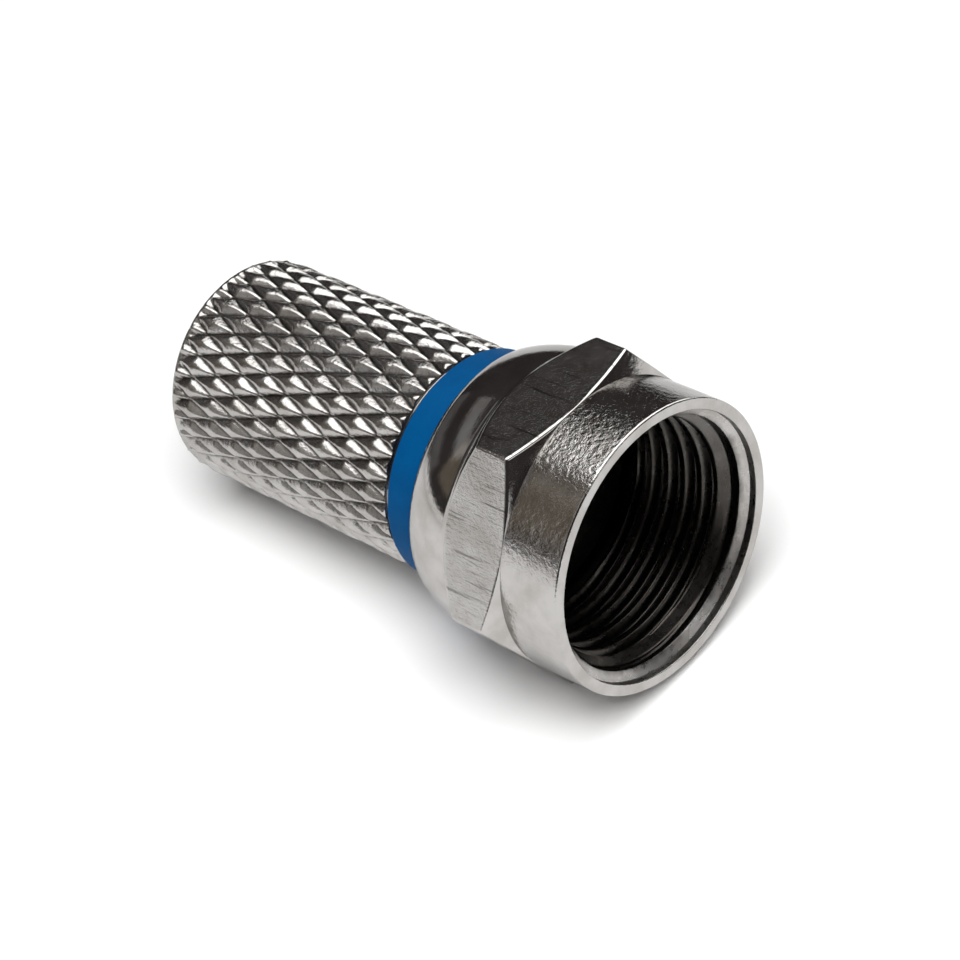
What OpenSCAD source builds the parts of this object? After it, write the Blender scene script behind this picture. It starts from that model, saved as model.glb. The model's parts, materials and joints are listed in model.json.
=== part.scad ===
// Twist-on F connector: a knurled sleeve that screws onto a coaxial cable, a colour ring on the
// sleeve's front, and a captive hexagon nut that turns freely on the sleeve's neck.
//
// Frame: +X runs along the axis and out of the nut's mouth, +Z is up, and one flat of the hexagon
// faces straight down. The origin is the centre of the flange's front face, which is the plane
// that meets the mating socket. Each piece is drawn upright along Z and then laid down.

/* [Nut] */
// Width across the flats of the hexagon
nut_af = 11; // [10.5:0.1:13]
// Length of the nut from its mouth to its rear face
nut_len = 7.45; // [7:0.05:10]
// Diameter of the round collar at the mouth
collar_d = 10.9; // [10.6:0.05:10.95]
// Distance from the mouth to the front end of the hexagon's corners
hex_start = 2.97; // [2.2:0.01:3.6]
// Length of the hexagon's corners between their two chamfers
corner_len = 1.4; // [0.6:0.05:1.8]
// Angle of the chamfer in front of the corners, from the plane across the axis
front_chamfer_angle = 25; // [15:1:35]
// Angle of the chamfer behind the corners, from the plane across the axis
rear_chamfer_angle = 45; // [30:1:50]
// Length of the domed shoulder that runs down to the rear edge
dome_len = 1.95; // [1:0.05:2]
// Diameter where the dome ends, at the rear edge
dome_end_d = 10.1; // [9.4:0.05:10.5]
// Chamfer between the dome and the rear face
rear_edge = 0.11; // [0.05:0.01:0.2]
// Chamfer round the outside of the mouth
rim_chamfer = 0.08; // [0.05:0.01:0.2]

/* [Coupling thread] */
// Minor diameter of the 3/8-32 coupling thread, which is the bore's wall
thread_minor_d = 8.76; // [8.66:0.01:8.86]
// Distance from the mouth to the end of the thread
thread_end = 5; // [3:0.1:5.2]
// Diameter of the counterbore at the mouth
mouth_d = 10.1; // [9.6:0.05:10.2]
// Depth of that counterbore
mouth_depth = 0.5; // [0.2:0.05:0.8]
// Angle of the lead-in from the counterbore to the thread, from the plane across the axis
lead_angle = 27; // [10:1:45]
// Diameter of the relief behind the thread
relief_d = 9.6; // [9.55:0.05:9.8]

/* [Sleeve] */
// Diameter over the crests of the knurl
grip_d = 8.7; // [8.6:0.05:10]
// Length of the knurled grip
grip_len = 11.43; // [8:0.01:16]
// Chamfer at the grip's open end
grip_chamfer = 0.3; // [0.1:0.05:0.4]
// Width of the turned groove between the colour ring and the grip
groove_w = 0.3; // [0.2:0.05:0.6]
// Diameter at the bottom of that groove
groove_d = 8.2; // [8.15:0.05:8.25]
// Diameter of the neck that carries the nut
neck_d = 7.3; // [7:0.05:7.5]
// Diameter of the flange that keeps the nut on
flange_d = 8.3; // [8.1:0.05:8.4]
// Thickness of the flange
flange_t = 0.8; // [0.5:0.05:1]
// Chamfer on the flange's edges
flange_edge = 0.1; // [0.05:0.01:0.15]

/* [Cable bores] */
// Minor diameter of the jacket thread, which is the wall of the cable entry
jacket_bore_d = 6.8; // [6.4:0.05:7]
// Diameter of the countersink at the cable entry
jacket_mouth_d = 7.6; // [7.4:0.05:7.8]
// Diameter of the bore that the cable's dielectric passes through
core_bore_d = 5; // [4.6:0.05:5.4]
// Thickness of the wall between the grip's front end and the cable entry
front_wall = 0.7; // [0.5:0.05:1.5]
// Angle of the cone at the bottom of the cable entry, from the plane across the axis
bottom_angle = 31; // [20:1:45]

/* [Knurl] */
// Number of grooves of each hand around the grip
knurl_starts = 30; // [20:1:36]
// Length of one diamond along the axis
diamond_len = 2.4; // [1.6:0.05:3]
// Depth of the grooves
knurl_depth = 0.2; // [0.1:0.01:0.22]
// Share of the diamond that its flat top takes up, across and along
land_share = 0.5; // [0.3:0.01:0.8]

/* [Colour ring] */
// Outside diameter of the colour ring
ring_d = 8.84; // [8.7:0.02:9.2]
// Inside diameter of the colour ring, and of its seat on the sleeve
ring_seat_d = 7.9; // [7.6:0.05:8]
// Length of the colour ring
ring_len = 1.5; // [1:0.05:2]
// Chamfer on the colour ring's outer edges
ring_edge = 0.08; // [0.02:0.01:0.15]

/* [Fits] */
// Gap all round between the nut's rear hole and the neck
swivel_gap = 0.1; // [0.05:0.01:0.1]
// Free space in front of the nut's rear wall and behind it
end_play = 0.15; // [0.1:0.01:0.3]
// Thickness of the nut's rear wall
rear_wall = 1; // [0.7:0.05:1.3]

/* [Hidden] */
$fn = 96;

nickel = [0.72, 0.7, 0.67];
dark_nickel = [0.6, 0.58, 0.55];
ring_blue = [0.0, 0.36, 0.62];

dome_steps = 8;
cut_over = 1; // how far a cutting profile runs past the face that it opens

corner_r = nut_af / 2 / cos(30);
collar_r = collar_d / 2;
thread_r = thread_minor_d / 2;
relief_r = relief_d / 2;
grip_r = grip_d / 2;
neck_r = neck_d / 2;
jacket_r = jacket_bore_d / 2;
core_r = core_bore_d / 2;
seat_r = ring_seat_d / 2;

// Stations along the axis, with the flange's front face at 0 and the mouth at the positive end
flange_back = -flange_t;
nut_floor = flange_back - end_play;
nut_back = nut_floor - rear_wall;
nut_mouth = nut_back + nut_len;
hex_front = nut_mouth - hex_start;
hex_back = hex_front - corner_len;
ring_front = nut_back - end_play;
ring_back = ring_front - ring_len;
grip_front = ring_back - groove_w;
grip_back = grip_front - grip_len;
entry_bottom = grip_front - front_wall;

// The knurl's lattice: each row of diamonds is half a diamond behind the one before it
diamond_angle = 360 / knurl_starts;
row_step = diamond_len / 2;
knurl_rows = ceil(grip_len / row_step) + 2;
knurl_start = grip_back - (knurl_rows * row_step - grip_len) / 2;

// A piece drawn along Z laid along X, with what faced -X underneath turned to face up
module laid_down() rotate([0, 90, 0]) children();

// Points of an arc that leaves a cylinder of radius r at z, tangent to it, and has run down to
// radius r_end after a length len towards -Z
function dome(r, z, r_end, len) =
    let (
        drop = r - r_end,
        arc_r = (len * len + drop * drop) / (2 * drop),
        sweep = asin(len / arc_r)
    )
    [for (i = [0 : dome_steps])
        let (a = sweep * i / dome_steps)
        [r - arc_r * (1 - cos(a)), z - arc_r * sin(a)]];

// ---- Coupling nut ----

// Outline of the nut as turned, before its six flats: collar, corners, domed shoulder
function nut_outline() =
    let (
        over = 0.3, // how far the outline stands outside the hexagon's corners
        top_r = corner_r + over,
        front_rise = tan(front_chamfer_angle),
        rear_rise = tan(rear_chamfer_angle),
        dome_front = nut_back + rear_edge + dome_len
    )
    concat(
        [
            [0, nut_mouth],
            [collar_r - rim_chamfer, nut_mouth],
            [collar_r, nut_mouth - rim_chamfer],
            [collar_r, hex_front + (corner_r - collar_r) * front_rise],
            [top_r, hex_front - over * front_rise],
            [top_r, hex_back + over * rear_rise],
            [collar_r, hex_back - (corner_r - collar_r) * rear_rise]
        ],
        dome(collar_r, dome_front, dome_end_d / 2, dome_len),
        [[dome_end_d / 2 - rear_edge, nut_back], [0, nut_back]]
    );

// Inside of the nut: counterbore, lead-in, threaded bore, relief, and the hole that turns on the neck
function nut_bore() =
    let (
        mouth_r = mouth_d / 2,
        hole_r = neck_r + swivel_gap,
        lead_front = nut_mouth - mouth_depth,
        lead_in = (mouth_r - thread_r) * tan(lead_angle),
        relief_front = nut_mouth - thread_end
    )
    [
        [0, nut_mouth + cut_over],
        [mouth_r, nut_mouth + cut_over],
        [mouth_r, lead_front],
        [thread_r, lead_front - lead_in],
        [thread_r, relief_front],
        [relief_r, relief_front - (relief_r - thread_r)],
        [relief_r, nut_floor],
        [hole_r, nut_floor],
        [hole_r, nut_back - cut_over],
        [0, nut_back - cut_over]
    ];

module hexagon_bar() {
    translate([0, 0, nut_back - cut_over])
        rotate([0, 0, 30])
            cylinder(r = corner_r, h = nut_len + 2 * cut_over, $fn = 6);
}

module coupling_nut() {
    color(nickel)
        laid_down()
            difference() {
                intersection() {
                    hexagon_bar();
                    rotate_extrude() polygon(nut_outline());
                }
                rotate_extrude() polygon(nut_bore());
            }
}

// ---- Sleeve ----

function on_drum(r, a, z) = [r * cos(a), r * sin(a), z];

// Five points for each diamond of row j: the groove crossing on its right, its two side corners,
// and its two tips. The outermost rows have their outer tip pulled back to the row's own plane.
function diamond_points(j) =
    let (
        z = knurl_start + j * row_step,
        half_w = diamond_angle / 2,
        tip = row_step * land_share,
        turn = (j % 2) * half_w,
        floor_r = grip_r - knurl_depth,
        up = j == knurl_rows ? 0 : tip,
        down = j == 0 ? 0 : tip
    )
    concat(
        [for (i = [0 : knurl_starts - 1]) on_drum(floor_r, i * diamond_angle + turn + half_w, z)],
        [for (s = [-1, 1], i = [0 : knurl_starts - 1])
            on_drum(grip_r, i * diamond_angle + turn + s * half_w * land_share, z)],
        [for (e = [up, -down], i = [0 : knurl_starts - 1])
            on_drum(grip_r, i * diamond_angle + turn, z + e)]
    );

function at(kind, i, j) =
    (5 * j + kind) * knurl_starts + (i + knurl_starts) % knurl_starts;

// Two triangles of a four-cornered facet
function facet(a, b, c, d) = [[a, b, c], [a, c, d]];

// The flat top of diamond i in row j, and the groove walls above and below it
function diamond_faces(i, j) =
    let (
        left_cross = at(0, i - 1, j),
        right_cross = at(0, i, j),
        left = at(1, i, j),
        right = at(2, i, j),
        tip_up = at(3, i, j),
        tip_down = at(4, i, j),
        next = i - 1 + j % 2
    )
    concat(
        facet(tip_down, left, tip_up, right),
        j == knurl_rows ? [] : concat(
            facet(left, left_cross, at(0, next, j + 1), tip_up),
            facet(right, tip_up, at(0, next, j + 1), right_cross)
        ),
        j == 0 ? [] : concat(
            facet(left, tip_down, at(0, next, j - 1), left_cross),
            facet(right, right_cross, at(0, next, j - 1), tip_down)
        )
    );

// Corners of the outline at an end row, in order round the grip; middle is the kind of the tip
function end_ring(j, middle) =
    [for (i = [0 : knurl_starts - 1], kind = [1, middle, 2, 0]) at(kind, i, j)];

function fan(centre, ring) =
    [for (k = [0 : len(ring) - 1]) [centre, ring[k], ring[(k + 1) % len(ring)]]];

function reversed(list) = [for (k = [len(list) - 1 : -1 : 0]) list[k]];

// A bar covered with the diamond knurl, longer than the grip at both ends
module knurled_bar() {
    low_centre = 5 * knurl_starts * (knurl_rows + 1);
    polyhedron(
        points = concat(
            [for (j = [0 : knurl_rows], p = diamond_points(j)) p],
            [[0, 0, knurl_start], [0, 0, knurl_start + knurl_rows * row_step]]
        ),
        faces = concat(
            [for (j = [0 : knurl_rows], i = [0 : knurl_starts - 1], f = diamond_faces(i, j)) f],
            fan(low_centre, end_ring(0, 4)),
            fan(low_centre + 1, reversed(end_ring(knurl_rows, 3)))
        )
    );
}

// The grip's turned blank: its ends, and the chamfer at the open end
function grip_blank() =
    let (
        clear = 0.5, // how far the blank stands outside the knurl's crests
        chamfer_r = grip_r - grip_chamfer
    )
    [
        [0, grip_front],
        [grip_r + clear, grip_front],
        [grip_r + clear, grip_back + grip_chamfer + clear],
        [chamfer_r, grip_back],
        [0, grip_back]
    ];

// The turned front of the sleeve: flange, neck, the ring's seat and the groove behind it
function front_outline() =
    let (
        flange_r = flange_d / 2,
        root = grip_front - front_wall / 2 // the front's root inside the grip
    )
    [
        [0, 0],
        [flange_r - flange_edge, 0],
        [flange_r, -flange_edge],
        [flange_r, flange_back + flange_edge],
        [flange_r - flange_edge, flange_back],
        [neck_r, flange_back],
        [neck_r, ring_front],
        [seat_r, ring_front],
        [seat_r, ring_back],
        [groove_d / 2, ring_back],
        [groove_d / 2, root],
        [0, root]
    ];

// The way through for the cable: core bore, cone, jacket bore, countersink
function cable_way() =
    let (
        jacket_mouth_r = jacket_mouth_d / 2,
        cone_len = (jacket_r - core_r) * tan(bottom_angle)
    )
    [
        [0, cut_over],
        [core_r, cut_over],
        [core_r, entry_bottom],
        [jacket_r, entry_bottom - cone_len],
        [jacket_r, grip_back + (jacket_mouth_r - jacket_r)],
        [jacket_mouth_r + cut_over, grip_back - cut_over],
        [0, grip_back - cut_over]
    ];

module sleeve() {
    color(dark_nickel)
        laid_down()
            difference() {
                union() {
                    intersection() {
                        knurled_bar();
                        rotate_extrude() polygon(grip_blank());
                    }
                    rotate_extrude() polygon(front_outline());
                }
                rotate_extrude() polygon(cable_way());
            }
}

// ---- Colour ring ----

module colour_ring() {
    ring_r = ring_d / 2;
    color(ring_blue)
        laid_down()
            rotate_extrude()
                polygon([
                    [seat_r, ring_front],
                    [ring_r - ring_edge, ring_front],
                    [ring_r, ring_front - ring_edge],
                    [ring_r, ring_back + ring_edge],
                    [ring_r - ring_edge, ring_back],
                    [seat_r, ring_back]
                ]);
}

coupling_nut();
sleeve();
colour_ring();
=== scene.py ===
"""Looks of a twist-on F connector: a plated nut, a knurled sleeve and a blue plastic ring."""

import json
import math

import bmesh
import bpy
import numpy as np
from mathutils import Matrix, Vector


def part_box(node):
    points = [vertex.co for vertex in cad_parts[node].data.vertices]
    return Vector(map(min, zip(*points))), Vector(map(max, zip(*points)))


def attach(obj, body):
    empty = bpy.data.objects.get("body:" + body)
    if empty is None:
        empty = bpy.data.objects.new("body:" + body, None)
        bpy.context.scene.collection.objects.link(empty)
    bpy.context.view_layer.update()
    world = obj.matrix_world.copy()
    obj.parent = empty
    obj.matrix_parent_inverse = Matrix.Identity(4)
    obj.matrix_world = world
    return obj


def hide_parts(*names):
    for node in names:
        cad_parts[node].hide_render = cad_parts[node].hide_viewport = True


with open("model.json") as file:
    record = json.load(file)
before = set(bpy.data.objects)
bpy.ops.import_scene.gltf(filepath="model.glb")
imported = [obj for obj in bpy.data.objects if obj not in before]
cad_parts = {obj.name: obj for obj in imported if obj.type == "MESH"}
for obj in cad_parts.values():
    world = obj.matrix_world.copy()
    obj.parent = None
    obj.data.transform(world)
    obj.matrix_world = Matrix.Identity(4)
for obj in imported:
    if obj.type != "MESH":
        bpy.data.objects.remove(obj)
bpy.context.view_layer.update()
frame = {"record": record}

MM = 0.001
INCH = 25.4
TURN = 2 * math.pi
SIXTH = math.pi / 3
HALF_SIXTH = math.pi / 6

# ---- Sizes from the frame, in millimetres, with x along the axis and the mating plane at 0 ----

mounts = {m["name"]: m for m in frame["record"]["mounts"]}


def span_x(node):
    """Lowest and highest x of a CAD node."""
    lo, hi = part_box(node)
    return lo[0] / MM, hi[0] / MM


def half_height(node):
    """Half a CAD node's height: its radius, or the hexagon's half width across flats."""
    lo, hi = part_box(node)
    return (hi[2] - lo[2]) / 2 / MM


NUT_BACK, NUT_MOUTH = span_x("coupling_nut")
FLAT_R = half_height("coupling_nut")
SLEEVE_BACK, FLANGE_FACE = span_x("sleeve")
GRIP_R = half_height("sleeve")
RING_BACK, RING_FRONT = span_x("colour_ring")
RING_R = half_height("colour_ring")
THREAD_MINOR_R = mounts["coupling_thread"]["dims"]["r_mm"]
JACKET_MINOR_R = mounts["cable_entry"]["dims"]["r_mm"]
CORE_R = mounts["dielectric_bore"]["dims"]["r_mm"]

# ---- Sizes that only the looks need, in millimetres ----

# Outside of the nut: a round collar, the hexagon between two cones, and the dome
COLLAR_R = 5.49
HEX_CORNER_R = FLAT_R / math.cos(HALF_SIXTH)
HEX_FRONT = NUT_MOUTH - 2.97
HEX_BACK = HEX_FRONT - 1.4
FRONT_RISE = math.tan(math.radians(25))
REAR_RISE = math.tan(math.radians(45))
DOME_LEN = 1.95
DOME_END_R = 5.05
REAR_EDGE = 0.11

# Soft edges of the nut's outside
HEX_ROUND = 0.1
FRONT_EDGE = 0.09
BACK_EDGE = 0.1
RIM_EDGE = 0.08

# Inside of the nut, from the mouth to the hole that turns on the sleeve's neck
MOUTH_R = 5.05
MOUTH_DEPTH = 0.3
MOUTH_LIP = 0.05
LEAD_RISE = math.tan(math.radians(32))
START_R = 4.72
START_DEPTH = 0.9
PITCH = INCH / 32
THREAD_MAJOR_R = INCH * 3 / 16
THREAD_END = NUT_MOUTH - 5
RELIEF_R = 4.8
NUT_FLOOR = NUT_BACK + 1.0
NUT_HOLE_R = 3.75
HOLE_CHAMFER = 0.08

# Where the nut's outside and inside meet, on the flat face of the rim
RIM_JOIN_R = 5.2

# Sleeve in front of the grip
NECK_R = 3.65
FLANGE_R = 4.15
FLANGE_BACK = FLANGE_FACE - 0.8
SEAT_R = 3.95
GROOVE_R = 4.1
GRIP_FRONT = RING_BACK - 0.3
GRIP_JOIN_R = 4.2

# Cable entry, whose thread deepens from its inner end at JACKET_RUN_IN per millimetre
ENTRY_BOTTOM = GRIP_FRONT - 0.7
ENTRY_CONE = 0.55
JACKET_PITCH = 1.3
JACKET_ROOT_R = 3.72
JACKET_RUN_IN = 1.65
JACKET_MOUTH_R = 3.8
JACKET_LIP = 0.06

# Knurl: a groove's wall takes WALL_SHARE of the way to the middle of a diamond, and rounds over
# by SHOULDER, a share of the wall
KNURL_STARTS = 30
DIAMOND_LEN = 2.4
KNURL_DEPTH = 0.22
WALL_SHARE = 0.57
SHOULDER = 0.5

# Ends of the grip. At the open end the grooves are RIM_GROOVES deep and deepen forwards by RUN_OUT
# per millimetre. The front edge is GRIP_FRONT_DROP low and rises backwards by GRIP_FRONT_RISE.
GRIP_CHAMFER = 0.1
RIM_GROOVES = 0.04
RUN_OUT = 0.5
GRIP_FRONT_DROP = 0.12
GRIP_FRONT_RISE = 2

RING_EDGE = 0.07

# ---- Mesh building: rings of points round the x axis, joined one to the next ----

# How far from a corner the shading of a flat face is held, as a multiple of the soft edge's size
HOLD = 1.08

# The largest share of a side that a soft edge takes
SIDE_SHARE = 0.45


def ring(angles, x, r):
    """Points at the given angles from +z towards -y. x and r are one number or one per angle."""
    x = np.broadcast_to(x, angles.shape)
    r = np.broadcast_to(r, angles.shape)
    return np.stack([x, -r * np.sin(angles), r * np.cos(angles)], axis=1)


def skin(name, rings, kinds, stagger=None):
    """A closed mesh through rings of equally many points, with the last ring joined to the first.

    kinds gives the material index of the band that follows each ring. stagger gives, for each
    ring, 0 or 1 where its points sit half a step further round than the plain rings' points.
    """
    count = len(rings[0])
    stagger = stagger or [0] * len(rings)
    faces = []
    materials = []
    here = np.arange(count)
    after = (here + 1) % count
    for k in range(len(rings)):
        other = (k + 1) % len(rings)
        a, a1 = k * count + here, k * count + after
        b, b1 = other * count + here, other * count + after
        if stagger[k] == stagger[other]:
            band = np.stack([a, a1, b1, b], axis=1).tolist()
        elif stagger[other]:
            band = np.stack([a, a1, b], axis=1).tolist() + np.stack([a1, b1, b], axis=1).tolist()
        else:
            band = np.stack([a, b1, b], axis=1).tolist() + np.stack([a, a1, b1], axis=1).tolist()
        faces += band
        materials += [kinds[k]] * len(band)
    mesh = bpy.data.meshes.new(name)
    mesh.from_pydata((np.concatenate(rings) * MM).tolist(), [], faces)
    mesh.polygons.foreach_set("material_index", materials)
    mesh.polygons.foreach_set("use_smooth", [True] * len(faces))
    mesh.update()
    piece = bpy.data.objects.new(name, mesh)
    bpy.context.scene.collection.objects.link(piece)
    return piece


def finish_mesh(piece, sharp_degrees):
    """Faces turned outwards, no doubled points, and edges over an angle kept sharp."""
    bm = bmesh.new()
    bm.from_mesh(piece.data)
    bmesh.ops.remove_doubles(bm, verts=bm.verts, dist=1e-7)
    bmesh.ops.dissolve_degenerate(bm, edges=bm.edges, dist=1e-8)
    bmesh.ops.recalc_face_normals(bm, faces=bm.faces)
    limit = math.radians(sharp_degrees)
    for edge in bm.edges:
        edge.smooth = not (edge.is_manifold and edge.calc_face_angle(0) > limit)
    bm.to_mesh(piece.data)
    bm.free()
    piece.data.update()


def between(start, end, steps):
    """Values from start to end, both included."""
    return list(np.linspace(start, end, steps + 1))


def bend(start, corner, end, t):
    """A point on the curve from start to end that a corner pulls towards itself."""
    return (1 - t) ** 2 * start + 2 * t * (1 - t) * corner + t * t * end


def round_off(before, corner, after, size, steps=3):
    """Points of a soft edge at a corner of a profile, cut back by size along both sides.

    One more point just outside each end keeps the faces beside the edge flat in their shading.
    """
    before, corner, after = (np.array(p, dtype=float) for p in (before, corner, after))
    back = min(SIDE_SHARE, size / np.linalg.norm(before - corner))
    ahead = min(SIDE_SHARE, size / np.linalg.norm(after - corner))
    start = corner + (before - corner) * back
    end = corner + (after - corner) * ahead
    points = [tuple(corner + (before - corner) * back * HOLD)]
    for t in between(0, 1, steps):
        points.append(tuple(bend(start, corner, end, t)))
    return points + [tuple(corner + (after - corner) * ahead * HOLD)]


def soften(profile):
    """Points (x, r) of a profile of (x, r, size), with each inner corner rounded by its size."""
    spots = [(x, r) for x, r, size in profile]
    points = [spots[0]]
    for k in range(1, len(profile) - 1):
        size = profile[k][2]
        if size:
            points += round_off(spots[k - 1], spots[k], spots[k + 1], size)
        else:
            points.append(spots[k])
    return points + [spots[-1]]


def fill_in(points, longest):
    """The same profile with long stretches cut into shorter ones."""
    out = [points[0]]
    for a, b in zip(points, points[1:]):
        steps = max(1, math.ceil(math.dist(a, b) / longest))
        for t in between(0, 1, steps)[1:]:
            out.append((a[0] + (b[0] - a[0]) * t, a[1] + (b[1] - a[1]) * t))
    return out


def thread_r(x, angles, pitch, crest_r, root_r):
    """Wall radius of a right-hand internal thread of 60 degrees, with soft crests and roots."""
    phase = (x / pitch + angles / TURN) % 1
    off = np.abs(phase - 0.5) * pitch
    root_half = pitch / 16
    flank = (root_r - crest_r) * math.tan(math.radians(30))
    height = np.clip((off - root_half) / flank, 0, 1)
    softness = 0.35
    eased = height * height * (3 - 2 * height)
    height = eased * softness + height * (1 - softness)
    return root_r + (crest_r - root_r) * height


# ---- Coupling nut ----

NUT_TURNED, NUT_FLATS, NUT_INSIDE, NUT_SMOOTH = 0, 1, 2, 3

# Angle from the middle of a flat to where the corner's rounding starts
HEX_TANGENT = math.atan((FLAT_R - HEX_ROUND) * math.tan(HALF_SIXTH) / FLAT_R)


def nut_angles():
    """Angles round the nut, close together at the hexagon's six rounded corners."""
    even_to = 28.8
    corner = list(np.linspace(math.degrees(HEX_TANGENT), 30, 4))
    flat = list(np.linspace(-even_to, even_to, 41))
    side = [-a for a in corner[::-1]] + flat + corner[:-1]
    return np.radians(np.concatenate([np.array(side) + 60 * k for k in range(6)]))


def hexagon_r(angles):
    """Distance from the axis to the hexagon with flats at the top and bottom and soft corners."""
    off = np.abs((angles + HALF_SIXTH) % SIXTH - HALF_SIXTH)
    flat = FLAT_R / np.cos(off)
    centre = (FLAT_R - HEX_ROUND) / math.cos(HALF_SIXTH)
    delta = HALF_SIXTH - off
    inside = np.maximum(HEX_ROUND ** 2 - (centre * np.sin(delta)) ** 2, 0)
    fillet = centre * np.cos(delta) + np.sqrt(inside)
    return np.where(off > HEX_TANGENT, fillet, flat)


def blend_rows(angles, before, corner, after, size, steps):
    """Rings of a soft edge where all three profile points may differ round the nut."""
    before, corner, after = (
        np.stack([np.broadcast_to(v, angles.shape) for v in p]) for p in (before, corner, after)
    )
    back, ahead = before - corner, after - corner
    back = back * np.minimum(SIDE_SHARE, size / np.linalg.norm(back, axis=0))
    ahead = ahead * np.minimum(SIDE_SHARE, size / np.linalg.norm(ahead, axis=0))
    out = [ring(angles, *(corner + back * HOLD))]
    for t in between(0, 1, steps):
        out.append(ring(angles, *bend(corner + back, corner, corner + ahead, t)))
    return out + [ring(angles, *(corner + ahead * HOLD))]


def nut_outside(angles):
    """Rings from the mouth's rim over the collar, the hexagon and the dome to the rear face."""
    top = hexagon_r(angles)
    cone_front = HEX_FRONT + (HEX_CORNER_R - COLLAR_R) * FRONT_RISE
    cone_back = HEX_BACK - (HEX_CORNER_R - COLLAR_R) * REAR_RISE
    front_x = HEX_FRONT + (HEX_CORNER_R - top) * FRONT_RISE
    back_x = HEX_BACK - (HEX_CORNER_R - top) * REAR_RISE
    rows = []
    kinds = []

    # The collar, with a ring close to its rear end that keeps its shading straight
    rim = [
        (NUT_MOUTH, RIM_JOIN_R, 0),
        (NUT_MOUTH, COLLAR_R, RIM_EDGE),
        (cone_front, COLLAR_R, 0),
    ]
    for x, r in fill_in(soften(rim), 0.35)[1:-1]:
        rows.append(ring(angles, x, r))
        kinds.append(NUT_TURNED)
    for ahead, kind in ((0.03, NUT_TURNED), (0, NUT_SMOOTH)):
        rows.append(ring(angles, cone_front + ahead, COLLAR_R))
        kinds.append(kind)

    # The hexagon between its two cones. Each soft edge has seven rings and changes material midway.
    rows += blend_rows(
        angles, (cone_front, COLLAR_R), (front_x, top), (back_x, top), FRONT_EDGE, 4
    )
    kinds += [NUT_SMOOTH] * 3 + [NUT_FLATS] * 4
    flat_len = front_x - back_x
    a_x = front_x - flat_len * np.minimum(SIDE_SHARE, FRONT_EDGE / flat_len) * HOLD
    b_x = back_x + flat_len * np.minimum(SIDE_SHARE, BACK_EDGE / flat_len) * HOLD
    for t in between(0, 1, 8)[1:-1]:
        rows.append(ring(angles, a_x + (b_x - a_x) * t, top))
        kinds.append(NUT_FLATS)
    rows += blend_rows(
        angles, (front_x, top), (back_x, top), (cone_back, COLLAR_R), BACK_EDGE, 4
    )
    kinds += [NUT_FLATS] * 3 + [NUT_SMOOTH] * 4

    # The dome, an arc that starts level with the collar
    rows.append(ring(angles, cone_back, COLLAR_R))
    kinds.append(NUT_SMOOTH)
    dome_front = NUT_BACK + REAR_EDGE + DOME_LEN
    drop = COLLAR_R - DOME_END_R
    arc_r = (DOME_LEN ** 2 + drop ** 2) / (2 * drop)
    for a in between(0, math.asin(DOME_LEN / arc_r), 10):
        x = dome_front - arc_r * math.sin(a)
        rows.append(ring(angles, x, COLLAR_R - arc_r * (1 - math.cos(a))))
        kinds.append(NUT_SMOOTH)
    return rows, kinds


def nut_inside(angles):
    """Rings from the rear face through the hole, relief and thread to the mouth's inner edge."""
    rows = []
    kinds = []
    soft = 0.05
    relief_end = THREAD_END - (RELIEF_R - THREAD_MINOR_R)
    rear = [
        (NUT_BACK + REAR_EDGE, DOME_END_R, 0),
        (NUT_BACK, DOME_END_R - REAR_EDGE, soft),
        (NUT_BACK, NUT_HOLE_R, HOLE_CHAMFER),
        (NUT_FLOOR, NUT_HOLE_R, HOLE_CHAMFER),
        (NUT_FLOOR, RELIEF_R, soft),
        (relief_end, RELIEF_R, 0),
    ]
    for x, r in fill_in(soften(rear), 0.5)[1:]:
        rows.append(ring(angles, x, r))
        kinds.append(NUT_INSIDE if x > NUT_BACK + soft else NUT_TURNED)

    # The thread and its lead-in, with rings closer together near the mouth
    lead_end = NUT_MOUTH - MOUTH_DEPTH
    close = lead_end - 0.3
    for x in between(relief_end, close, 116)[1:] + between(close, lead_end, 20)[1:]:
        relief = RELIEF_R + relief_end - x
        lead_in = MOUTH_R - (lead_end - x) / LEAD_RISE
        start = START_R - max(0, NUT_MOUTH - START_DEPTH - x)
        wall = thread_r(x, angles, PITCH, THREAD_MINOR_R, THREAD_MAJOR_R)
        rows.append(ring(angles, x, np.maximum(wall, max(relief, lead_in, start))))
        kinds.append(NUT_INSIDE)
    bore = [
        (lead_end, MOUTH_R, 0),
        (NUT_MOUTH, MOUTH_R, MOUTH_LIP),
        (NUT_MOUTH, RIM_JOIN_R, 0),
    ]
    for x, r in fill_in(soften(bore), 0.15)[1:]:
        rows.append(ring(angles, x, r))
        kinds.append(NUT_INSIDE if x < NUT_MOUTH - MOUTH_LIP / 2 else NUT_TURNED)
    return rows, kinds


def make_nut():
    """The coupling nut as one closed mesh."""
    angles = nut_angles()
    out_rows, out_kinds = nut_outside(angles)
    in_rows, in_kinds = nut_inside(angles)
    shell = skin("nut_shell", out_rows + in_rows, out_kinds + in_kinds)
    finish_mesh(shell, sharp_degrees=55)
    return shell


# ---- Sleeve ----

SLEEVE_TURNED, SLEEVE_KNURL, SLEEVE_INSIDE = 0, 1, 2

# Mesh steps round the sleeve for each knurl start
CELL_STEPS = 12

# The knurl's half diamonds are centred on the grip's length
HALF_DIAMOND = DIAMOND_LEN / 2
KNURL_ROWS = math.ceil((GRIP_FRONT - SLEEVE_BACK) / HALF_DIAMOND) + 2
KNURL_PHASE = SLEEVE_BACK - (KNURL_ROWS * HALF_DIAMOND - (GRIP_FRONT - SLEEVE_BACK)) / 2


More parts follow.
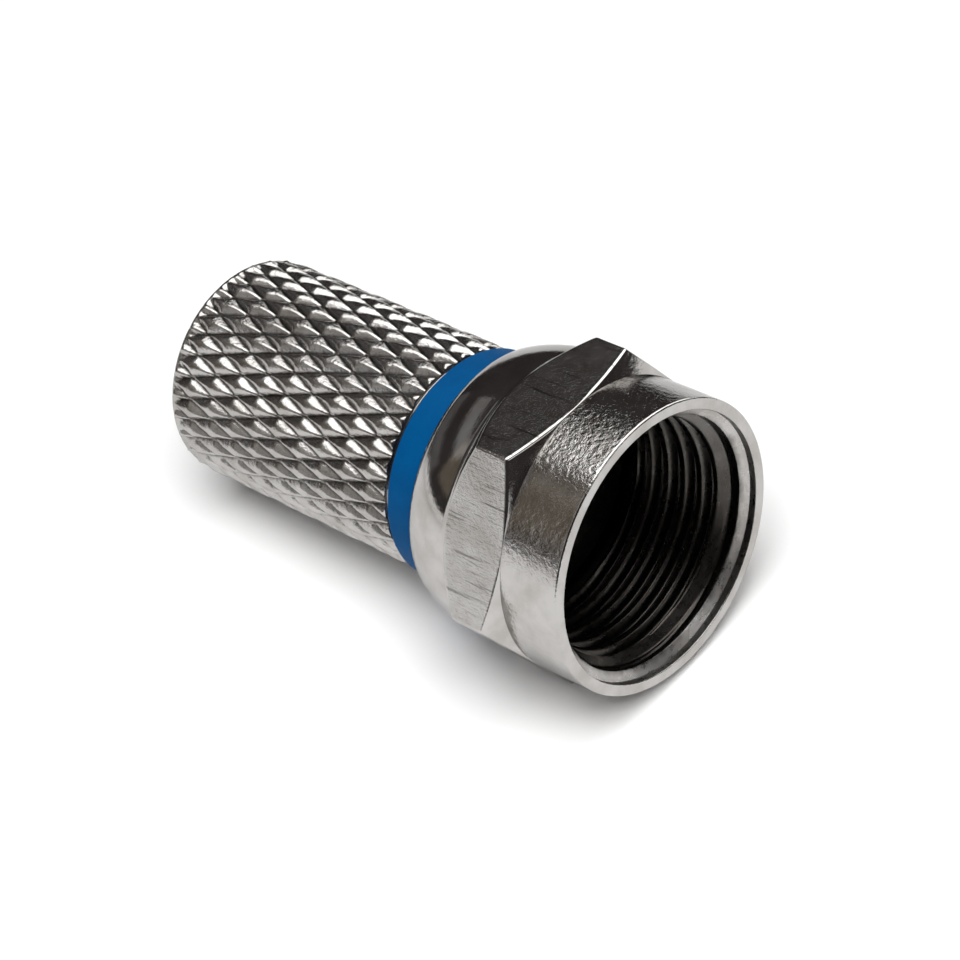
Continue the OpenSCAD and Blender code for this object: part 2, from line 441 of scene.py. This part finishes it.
def knurl_r(x, angles):
    """Radius of the knurled grip: pillow-shaped diamonds between two hands of V grooves.

    A groove's wall is straight at first and rounds over into the diamond's top.
    """
    turn = angles * KNURL_STARTS / TURN
    along = (x - KNURL_PHASE) / DIAMOND_LEN
    height = np.ones(angles.shape)
    for hand in (1, -1):
        line = turn + hand * along
        up = 2 * np.abs(line - np.floor(line) - 0.5) / WALL_SHARE
        round_over = 1 - (1 + SHOULDER - up) ** 2 / (4 * SHOULDER)
        wall = np.where(up < 1 - SHOULDER, up, np.where(up < 1 + SHOULDER, round_over, 1))
        height = np.minimum(height, wall)
    return GRIP_R - KNURL_DEPTH * (1 - height)


def grip_r(x, angles):
    """Radius of the knurled grip with its two ends."""
    from_back, from_front = x - SLEEVE_BACK, GRIP_FRONT - x
    r = knurl_r(x, angles)
    r = np.maximum(r, GRIP_R - RIM_GROOVES - from_back * RUN_OUT)
    r = np.minimum(r, GRIP_R - GRIP_CHAMFER + from_back)
    return np.minimum(r, GRIP_R - GRIP_FRONT_DROP + from_front * GRIP_FRONT_RISE)


def make_sleeve():
    """The sleeve as one closed mesh, from the open end over the grip and back through the bore."""
    step = TURN / (KNURL_STARTS * CELL_STEPS)
    plain = np.arange(KNURL_STARTS * CELL_STEPS) * step
    shifted = plain + step / 2
    rows = []
    kinds = []
    stagger = []

    def add(x, r, kind, shift=0):
        """Adds one ring and the material index of the band that follows it."""
        rows.append(ring(shifted if shift else plain, x, r))
        kinds.append(kind)
        stagger.append(shift)

    # The knurl, from the open end forwards, on a lattice of rows half a point apart
    lattice = DIAMOND_LEN / (2 * CELL_STEPS)
    first = math.floor((SLEEVE_BACK - KNURL_PHASE) / lattice)
    last = math.ceil((GRIP_FRONT - KNURL_PHASE) / lattice)
    for m in range(first, last + 1):
        x = min(max(KNURL_PHASE + m * lattice, SLEEVE_BACK), GRIP_FRONT)
        shift = m % 2
        r = grip_r(x, shifted if shift else plain)
        add(x, r, SLEEVE_KNURL if m < last else SLEEVE_TURNED, shift)

    # The turned front, down to the neck, out to the flange and back through the core's bore
    entry = ENTRY_BOTTOM - ENTRY_CONE
    front = [
        (GRIP_FRONT, GRIP_JOIN_R, 0),
        (GRIP_FRONT, GROOVE_R, 0.03),
        (RING_BACK, GROOVE_R, 0),
        (RING_BACK, SEAT_R, 0.03),
        (RING_FRONT, SEAT_R, 0.03),
        (RING_FRONT, NECK_R, 0.05),
        (FLANGE_BACK, NECK_R, 0.05),
        (FLANGE_BACK, FLANGE_R, 0.08),
        (FLANGE_FACE, FLANGE_R, 0.08),
        (FLANGE_FACE, CORE_R, 0.08),
        (ENTRY_BOTTOM, CORE_R, 0.05),
        (entry, JACKET_MINOR_R, 0),
    ]
    for x, r in fill_in(soften(front), 0.8):
        add(x, r, SLEEVE_INSIDE if x < FLANGE_FACE and r <= CORE_R + 1e-6 else SLEEVE_TURNED)

    # The cable entry with its coarse thread, back out to the open end
    lip_x = SLEEVE_BACK + JACKET_LIP
    for x in between(entry, lip_x, 80)[1:]:
        countersink = JACKET_MOUTH_R - JACKET_LIP - (x - lip_x)
        run_in = JACKET_MINOR_R + (entry - x) * JACKET_RUN_IN
        wall = thread_r(x, plain, JACKET_PITCH, JACKET_MINOR_R, JACKET_ROOT_R)
        add(x, np.maximum(np.minimum(wall, run_in), countersink), SLEEVE_INSIDE)
    slope = (SLEEVE_BACK + 2 * JACKET_LIP, JACKET_MOUTH_R - 2 * JACKET_LIP)
    corner = (SLEEVE_BACK, JACKET_MOUTH_R)
    for x, r in round_off(slope, corner, (SLEEVE_BACK, GRIP_R), JACKET_LIP):
        add(x, r, SLEEVE_TURNED)
    shell = skin("sleeve_shell", rows, kinds, stagger)
    finish_mesh(shell, sharp_degrees=60)
    return shell


# ---- Colour ring ----


def make_ring():
    """The colour ring as one closed band."""
    angles = np.linspace(0, TURN, 256, endpoint=False)
    join_r = SEAT_R + 0.2
    profile = [
        (RING_BACK, join_r, 0),
        (RING_BACK, RING_R, RING_EDGE),
        (RING_FRONT, RING_R, RING_EDGE),
        (RING_FRONT, SEAT_R, 0.02),
        (RING_BACK, SEAT_R, 0.02),
        (RING_BACK, join_r, 0),
    ]
    points = fill_in(soften(profile), 0.3)[:-1]
    rows = [ring(angles, x, r) for x, r in points]
    shell = skin("colour_band", rows, [0] * len(rows))
    finish_mesh(shell, sharp_degrees=60)
    return shell


# ---- Materials, whose noise scales are given per millimetre ----

NICKEL = (0.5, 0.487, 0.474)
NICKEL_DULL = (0.4, 0.383, 0.362)
# Dark colour of the scratches on the flats, and of the painted shade in the knurl's grooves and
# deep in the nut's bore
SCRATCH_AND_SHADE_DARK = (0.05, 0.045, 0.04)
BLUE_DARK = (0.0, 0.063, 0.197)
BLUE_LIGHT = (0.0, 0.072, 0.218)


def new_material(name):
    """A material, its node tree and its shader."""
    material = bpy.data.materials.new(name)
    material.use_nodes = True
    tree = material.node_tree
    tree.nodes.clear()
    out = tree.nodes.new("ShaderNodeOutputMaterial")
    shader = tree.nodes.new("ShaderNodeBsdfPrincipled")
    tree.links.new(shader.outputs["BSDF"], out.inputs["Surface"])
    return material, tree, shader


def object_coords(tree, scale):
    """Object coordinates stretched by a scale per axis, in units of one millimetre."""
    coords = tree.nodes.new("ShaderNodeTexCoord")
    mapping = tree.nodes.new("ShaderNodeMapping")
    mapping.inputs["Scale"].default_value = [s / MM for s in scale]
    tree.links.new(coords.outputs["Object"], mapping.inputs["Vector"])
    return mapping.outputs["Vector"]


def noise(tree, scale, detail=3.0, rough=0.55):
    """Noise from 0 to 1 with a scale per axis."""
    node = tree.nodes.new("ShaderNodeTexNoise")
    node.inputs["Scale"].default_value = 1.0
    node.inputs["Detail"].default_value = detail
    node.inputs["Roughness"].default_value = rough
    tree.links.new(object_coords(tree, scale), node.inputs["Vector"])
    return node.outputs["Fac"]


def spread(tree, value, low, high, to_low=0.0, to_high=1.0):
    """A value's range from low to high, mapped to another range and clamped to it."""
    node = tree.nodes.new("ShaderNodeMapRange")
    node.inputs["From Min"].default_value = low
    node.inputs["From Max"].default_value = high
    node.inputs["To Min"].default_value = to_low
    node.inputs["To Max"].default_value = to_high
    tree.links.new(value, node.inputs["Value"])
    return node.outputs["Result"]


def mix_colours(tree, factor, low, high):
    """A mix of two colours, each of them fixed or the output of a node."""
    node = tree.nodes.new("ShaderNodeMix")
    node.data_type = "RGBA"
    # The colour sockets of this node can only be told apart by number
    for socket, colour in ((node.inputs[6], low), (node.inputs[7], high)):
        if isinstance(colour, tuple):
            socket.default_value = (*colour, 1)
        else:
            tree.links.new(colour, socket)
    tree.links.new(factor, node.inputs[0])
    return node.outputs[2]


def bump(tree, height, distance, strength, below=None):
    """A normal from a height, whose distance is in millimetres, on top of the normal below."""
    node = tree.nodes.new("ShaderNodeBump")
    node.inputs["Distance"].default_value = distance * MM
    node.inputs["Strength"].default_value = strength
    tree.links.new(height, node.inputs["Height"])
    if below:
        tree.links.new(below, node.inputs["Normal"])
    return node.outputs["Normal"]


def distance_from_axis(tree):
    """Distance from the x axis, in millimetres."""
    node = tree.nodes.new("ShaderNodeVectorMath")
    node.operation = "LENGTH"
    tree.links.new(object_coords(tree, (0, 1, 1)), node.inputs[0])
    return node.outputs["Value"]


def coordinate(tree, axis):
    """The X, Y or Z coordinate, in millimetres."""
    node = tree.nodes.new("ShaderNodeSeparateXYZ")
    tree.links.new(object_coords(tree, (1, 1, 1)), node.inputs["Vector"])
    return node.outputs[axis]


def product(tree, a, b):
    """a times b."""
    node = tree.nodes.new("ShaderNodeMath")
    node.operation = "MULTIPLY"
    tree.links.new(a, node.inputs[0])
    tree.links.new(b, node.inputs[1])
    return node.outputs["Value"]


def sum_of(tree, a, b, share):
    """a plus a share of b."""
    node = tree.nodes.new("ShaderNodeMath")
    node.operation = "MULTIPLY_ADD"
    tree.links.new(b, node.inputs[0])
    node.inputs[1].default_value = share
    tree.links.new(a, node.inputs[2])
    return node.outputs["Value"]


def metal(name, streaks, grain, roughness, mark_depth, grain_depth, unshaded=None, scratches=None):
    """Plated metal with machining marks along streaks and a pitted grain, depths in millimetres.

    The mask argument makes, from the material's tree, a value from 0 for painted shade to 1 for
    bare metal.
    scratches gives the scale of a few dark scratches.
    """
    material, tree, shader = new_material(name)
    shader.inputs["Metallic"].default_value = 1.0
    shader.inputs["Specular Tint"].default_value = (0.7, 0.7, 0.7, 1)
    stain = spread(tree, noise(tree, (0.9, 0.9, 0.9), detail=4), 0.35, 0.62)
    colour = mix_colours(tree, stain, NICKEL_DULL, NICKEL)
    if scratches:
        lines = spread(tree, noise(tree, scratches, detail=2), 0.6, 0.68, 0.0, 0.6)
        colour = mix_colours(tree, lines, colour, SCRATCH_AND_SHADE_DARK)
    # Painted shade: the colour turns dark where the mask is low
    if unshaded:
        colour = mix_colours(tree, unshaded(tree), SCRATCH_AND_SHADE_DARK, colour)
    tree.links.new(colour, shader.inputs["Base Color"])
    marks = noise(tree, streaks, detail=4, rough=0.6)
    pits = noise(tree, grain, detail=4, rough=0.6)
    rough = spread(tree, pits, 0.3, 0.7, roughness * 0.75, roughness * 1.3)
    tree.links.new(rough, shader.inputs["Roughness"])
    normal = bump(tree, marks, mark_depth, strength=1.0)
    normal = bump(tree, pits, grain_depth, strength=1.0, below=normal)
    tree.links.new(normal, shader.inputs["Normal"])
    return material


def knurl_groove_shade(tree):
    """Bare metal on the knurl's diamonds and painted shade in its grooves, with an uneven border.
    """
    height = sum_of(tree, distance_from_axis(tree), noise(tree, (3, 3, 3)), 0.1)
    floor = GRIP_R - KNURL_DEPTH + 0.05
    return spread(tree, height, floor, floor + 0.07, 0.25, 1.0)


def bore_shade(tree):
    """Painted shade: metal that turns dark from the nut's mouth inwards, and more so in its lower
    half.
    """
    patches = noise(tree, (1.2, 1.2, 1.2))
    place = sum_of(tree, coordinate(tree, "X"), patches, 0.3)
    depth = spread(tree, place, NUT_MOUTH - 4.5, NUT_MOUTH - 0.9, 0.14, 0.26)
    height = sum_of(tree, coordinate(tree, "Z"), patches, 3.0)
    side = spread(tree, height, 0.5, 4.5, 0.15, 1.0)
    lip = spread(tree, place, NUT_MOUTH - 0.42, NUT_MOUTH - 0.26, 0.0, 0.85)
    return sum_of(tree, product(tree, depth, side), lip, 1.0)


def blue_plastic():
    """Matt blue plastic with a faint grain."""
    material, tree, shader = new_material("ring_plastic")
    tone = spread(tree, noise(tree, (1.5, 1.5, 1.5)), 0.3, 0.7)
    colour = mix_colours(tree, tone, BLUE_DARK, BLUE_LIGHT)
    tree.links.new(colour, shader.inputs["Base Color"])
    grain = noise(tree, (9, 9, 9))
    tree.links.new(spread(tree, grain, 0.3, 0.7, 0.5, 0.62), shader.inputs["Roughness"])
    shader.inputs["Specular IOR Level"].default_value = 0.04
    tree.links.new(bump(tree, grain, distance=0.004, strength=0.2), shader.inputs["Normal"])
    return material


# Noise scales of machining marks that run round the axis
LATHE_FINE = (14, 1.6, 1.6)
LATHE_MIDDLE = (10, 1.2, 1.2)
LATHE_COARSE = (8, 1.2, 1.2)

# ---- Pieces ----

nut = make_nut()
for made in (
    metal(
        "nut_turned", LATHE_FINE, (5, 5, 5),
        roughness=0.085, mark_depth=0.002, grain_depth=0.018,
    ),
    metal(
        "nut_flats", (0.8, 14, 14), (6, 6, 6),
        roughness=0.13, mark_depth=0.003, grain_depth=0.008, scratches=(0.35, 6, 6),
    ),
    # The nut's inside gets painted shade, darker deeper in and in its lower half
    metal(
        "nut_inside", LATHE_MIDDLE, (7, 3, 3),
        roughness=0.3, mark_depth=0.002, grain_depth=0.006, unshaded=bore_shade,
    ),
    metal(
        "nut_smooth", LATHE_FINE, (5, 5, 5),
        roughness=0.08, mark_depth=0.002, grain_depth=0.004,
    ),
):
    nut.data.materials.append(made)
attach(nut, "nut_body")
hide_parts("coupling_nut")

sleeve = make_sleeve()
for made in (
    metal(
        "sleeve_turned", LATHE_FINE, (8, 3, 3),
        roughness=0.2, mark_depth=0.002, grain_depth=0.01,
    ),
    # The knurl gets painted shade in its grooves
    metal(
        "sleeve_knurl", (3, 3, 3), (7, 7, 7),
        roughness=0.18, mark_depth=0.02, grain_depth=0.016, unshaded=knurl_groove_shade,
    ),
    metal(
        "sleeve_inside", LATHE_COARSE, (7, 3, 3),
        roughness=0.25, mark_depth=0.002, grain_depth=0.006,
    ),
):
    sleeve.data.materials.append(made)
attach(sleeve, "sleeve_body")
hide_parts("sleeve")

band = make_ring()
band.data.materials.append(blue_plastic())
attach(band, "sleeve_body")
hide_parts("colour_ring")

# ---- Floor, lights and camera ----

WHITE = (1, 1, 1)


def make_floor():
    """A pale floor that touches the rear edge of the bottom flat and the sleeve's open end.

    The metal mirrors only the near part. Behind it a dark room shows in the mirror.
    """
    size = 3000
    mirrored_to = 62
    pivot = HEX_BACK - (HEX_CORNER_R - FLAT_R) * REAR_RISE
    slope = (FLAT_R - GRIP_R) / (pivot - SLEEVE_BACK - GRIP_CHAMFER)
    material, tree, shader = new_material("pale_floor")
    shader.inputs["Base Color"].default_value = (0.92, 0.92, 0.92, 1)
    shader.inputs["Roughness"].default_value = 0.8
    shader.inputs["Specular IOR Level"].default_value = 0.0
    for name, y_low, y_high in (("floor", -size, mirrored_to), ("far_floor", mirrored_to, size)):
        corners = []
        for x, y in ((-size, y_low), (size, y_low), (size, y_high), (-size, y_high)):
            corners.append((x * MM, y * MM, (-FLAT_R + (pivot - x) * slope) * MM))
        mesh = bpy.data.meshes.new(name)
        mesh.from_pydata(corners, [], [(0, 1, 2, 3)])
        mesh.materials.append(material)
        floor = bpy.data.objects.new(name, mesh)
        floor.visible_glossy = name == "floor"
        bpy.context.scene.collection.objects.link(floor)


def look_matrix(eye, target, roll_degrees=0.0):
    """The place and turn of a lamp or camera at eye that faces target."""
    turn = (target - eye).to_track_quat("-Z", "Y").to_matrix()
    turn = turn @ Matrix.Rotation(math.radians(roll_degrees), 3, "Z")
    return Matrix.Translation(eye) @ turn.to_4x4()


def direction(azimuth, elevation):
    """From the object towards a place; azimuth 0 is towards -y and 90 towards +x, in degrees."""
    a, e = math.radians(azimuth), math.radians(elevation)
    return Vector((math.sin(a) * math.cos(e), -math.cos(a) * math.cos(e), math.sin(e)))


def area_light(name, centre, target, width, height, radiance, colour=WHITE):
    """A rectangle that shines from a centre towards a target with a given radiance."""
    light = bpy.data.lights.new(name, "AREA")
    light.shape = "RECTANGLE"
    light.size = width
    light.size_y = height
    light.energy = radiance * math.pi * width * height
    light.color = colour
    lamp = bpy.data.objects.new(name, light)
    lamp.visible_camera = False
    lamp.matrix_world = look_matrix(Vector(centre), Vector(target))
    bpy.context.scene.collection.objects.link(lamp)
    return lamp


def make_lights():
    """A wash without reflection, and a softbox and cards that only reflections show.

    Places and sizes are in metres and angles in degrees.
    """
    middle = (0, 0, 0)
    wash_place = direction(58, 68) * 0.45
    wash = area_light("wash", wash_place, middle, width=0.36, height=0.36, radiance=7.6)
    wash.visible_glossy = False
    softbox_place, softbox_target = (0, 0.28, 0.4), (0, 0.28, 0)
    softbox = area_light(
        "softbox", softbox_place, softbox_target, width=0.5, height=0.74, radiance=3.0
    )
    softbox.visible_diffuse = False

    distance = 0.5
    # name, azimuth, elevation, width, height, radiance, colour
    cards = (
        ("back_window", -168, 16, 0.28, 0.24, 2.3, WHITE),
        ("low_card", -50, 3.5, 0.6, 0.065, 1.0, WHITE),
        ("warm_card", -46, 40, 0.26, 0.4, 0.1, (1.2, 1.0, 0.74)),
        ("side_card", -82, 41, 0.36, 0.11, 0.2, WHITE),
        ("rear_card", -88, 13.5, 0.35, 0.1, 0.09, WHITE),
        ("tall_card", -23, 27, 0.18, 0.31, 0.42, WHITE),
        ("top_card", -27, 60, 0.23, 0.23, 0.35, WHITE),
        ("front_card", 105, 18, 0.24, 0.07, 2.5, WHITE),
    )
    for name, azimuth, elevation, width, height, radiance, colour in cards:
        place = direction(azimuth, elevation) * distance
        card = area_light(name, place, middle, width, height, radiance, colour)
        card.visible_diffuse = False


def make_camera():
    """The camera, whose target is given in millimetres and whose distance in metres."""
    camera_data = bpy.data.cameras.new("camera")
    camera_data.sensor_width = 36
    camera_data.lens = 111.35
    camera_data.clip_start = 0.01
    camera = bpy.data.objects.new("camera", camera_data)
    target = Vector((-1.44, -1.53, 1.43)) * MM
    distance = 0.105
    eye = target + direction(53.59, 40.49) * distance
    camera.matrix_world = look_matrix(eye, target, roll_degrees=-17.1)
    bpy.context.scene.collection.objects.link(camera)
    bpy.context.scene.camera = camera


def make_world():
    """A dark room, for the dark parts of the reflections."""
    world = bpy.data.worlds.new("studio")
    world.use_nodes = True
    background = world.node_tree.nodes["Background"]
    background.inputs["Color"].default_value = (0.046, 0.041, 0.04, 1)
    background.inputs["Strength"].default_value = 1.0
    bpy.context.scene.world = world


make_camera()
make_world()
make_floor()
make_lights()
bpy.context.scene.view_settings.view_transform = "Standard"
